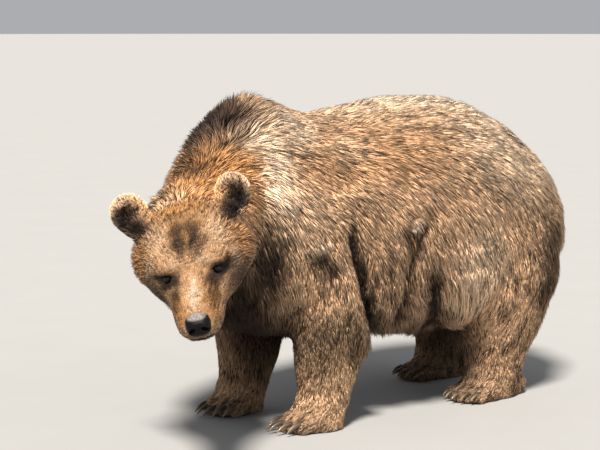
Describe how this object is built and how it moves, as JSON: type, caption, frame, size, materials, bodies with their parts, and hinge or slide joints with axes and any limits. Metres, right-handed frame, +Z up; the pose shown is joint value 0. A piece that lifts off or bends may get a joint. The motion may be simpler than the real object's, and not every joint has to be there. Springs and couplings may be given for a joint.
{
  "type": "brown bear",
  "caption": "Life-size brown bear standing on all fours with its head lowered and turned to its left, as a still model.",
  "frame": {"origin": "on the floor under the middle of the bear's bounding box", "axes": "+Y from head to tail, +X to the bear's left, +Z up"},
  "size_m": [0.9536, 1.9426, 1.0521],
  "materials": {
    "body_coat": "long shaggy fur, golden brown with pale tips",
    "leg_coat": "dense dark brown fur",
    "face_coat": "short flat fur",
    "ear_coat": "fur, dark inside and pale at the rim",
    "nose_leather": "bare, moist and pebbled",
    "eye_gloss": "wet and dark brown",
    "claw_horn": "smooth horn"
  },
  "bodies": {
    "root": {"trunk": "body_coat", "neck": "body_coat", "tail": "body_coat", "head": "face_coat", "lower_jaw": "face_coat", "nose": "nose_leather", "ear_left": "ear_coat", "ear_right": "ear_coat", "eye_left": "eye_gloss", "eye_right": "eye_gloss", "foreleg_left": "leg_coat", "foreleg_right": "leg_coat", "hindleg_left": "leg_coat", "hindleg_right": "leg_coat", "forepaw_left": "leg_coat", "forepaw_right": "leg_coat", "hindpaw_left": "leg_coat", "hindpaw_right": "leg_coat", "claw_fore_left_1": "claw_horn", "claw_fore_left_2": "claw_horn", "claw_fore_left_3": "claw_horn", "claw_fore_left_4": "claw_horn", "claw_fore_left_5": "claw_horn", "claw_fore_right_1": "claw_horn", "claw_fore_right_2": "claw_horn", "claw_fore_right_3": "claw_horn", "claw_fore_right_4": "claw_horn", "claw_fore_right_5": "claw_horn", "claw_hind_left_1": "claw_horn", "claw_hind_left_2": "claw_horn", "claw_hind_left_3": "claw_horn", "claw_hind_left_4": "claw_horn", "claw_hind_left_5": "claw_horn", "claw_hind_right_1": "claw_horn", "claw_hind_right_2": "claw_horn", "claw_hind_right_3": "claw_horn", "claw_hind_right_4": "claw_horn", "claw_hind_right_5": "claw_horn"}
  },
  "joints": []
}
